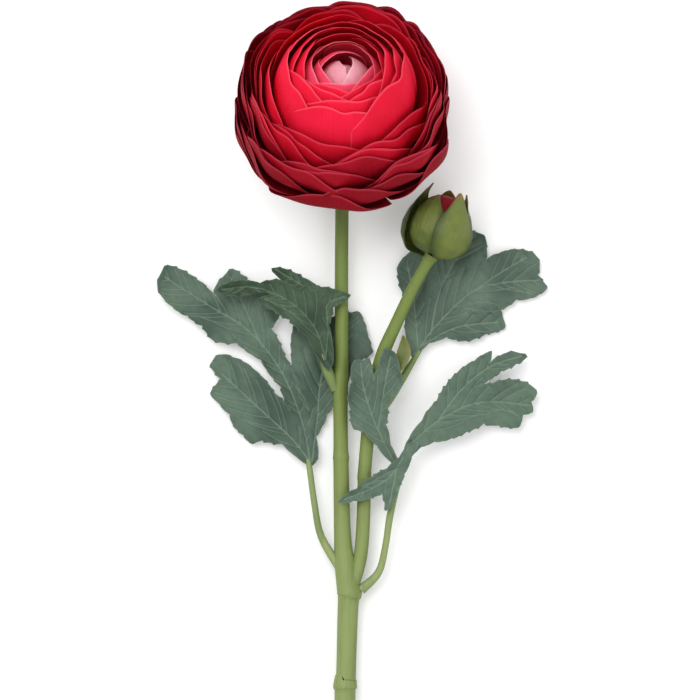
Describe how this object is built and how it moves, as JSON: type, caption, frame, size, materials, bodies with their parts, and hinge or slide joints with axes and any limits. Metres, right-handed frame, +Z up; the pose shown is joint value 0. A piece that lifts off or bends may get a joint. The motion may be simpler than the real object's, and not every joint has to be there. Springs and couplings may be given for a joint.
{
  "type": "persian buttercup flower",
  "caption": "Cut persian buttercup lying on its side: a full round bloom of nested petals, a closed side bud and lobed leaves on a green stem.",
  "frame": {"origin": "on the surface that the flower lies on, under the middle of its length and width", "axes": "+Y along the stem from its cut end to the bloom, +X to the bud's side, +Z up"},
  "size_m": [0.1558, 0.2919, 0.07],
  "materials": {
    "stem_green": "satin green stem, smooth, paler towards the foot",
    "leaf_green": "matt grey-green leaf with pale veins",
    "bud_green": "satin olive green with a pink rim",
    "heart_pink": "matt pale pink, fine radial veins",
    "petal_red": "matt crimson, brighter towards the heart, fine radial veins"
  },
  "bodies": {
    "root": {"bud_petals": "petal_red", "bud_sepal_1": "bud_green", "bud_sepal_2": "bud_green", "bud_sepal_3": "bud_green", "bud_sepal_4": "bud_green", "bud_sepal_5": "bud_green", "bud_stem": "stem_green", "leaf_left": "leaf_green", "leaf_lower": "leaf_green", "leaf_right": "leaf_green", "leaf_upper": "leaf_green", "main_stem": "stem_green", "petal_01": "heart_pink", "petal_02": "heart_pink", "petal_03": "heart_pink", "petal_04": "heart_pink", "petal_05": "heart_pink", "petal_06": "petal_red", "petal_07": "petal_red", "petal_08": "petal_red", "petal_09": "petal_red", "petal_10": "petal_red", "petal_11": "petal_red", "petal_12": "petal_red", "petal_13": "petal_red", "petal_14": "petal_red", "petal_15": "petal_red", "petal_16": "petal_red", "petal_17": "petal_red", "petal_18": "petal_red", "petal_19": "petal_red", "petal_20": "petal_red", "petal_21": "petal_red", "petal_22": "petal_red", "petal_23": "petal_red", "petal_24": "petal_red", "petal_25": "petal_red", "petal_26": "petal_red", "petal_27": "petal_red", "petal_28": "petal_red", "petal_29": "petal_red", "petal_30": "petal_red", "petal_31": "petal_red", "petal_32": "petal_red", "petal_33": "petal_red", "petal_34": "petal_red", "petal_35": "petal_red", "petal_36": "petal_red", "petal_37": "petal_red", "petal_38": "petal_red", "petal_39": "petal_red", "petal_40": "petal_red", "sepal_1": "bud_green", "sepal_2": "bud_green", "sepal_3": "bud_green", "sepal_4": "bud_green", "sepal_5": "bud_green", "side_bud": "bud_green"}
  },
  "joints": []
}
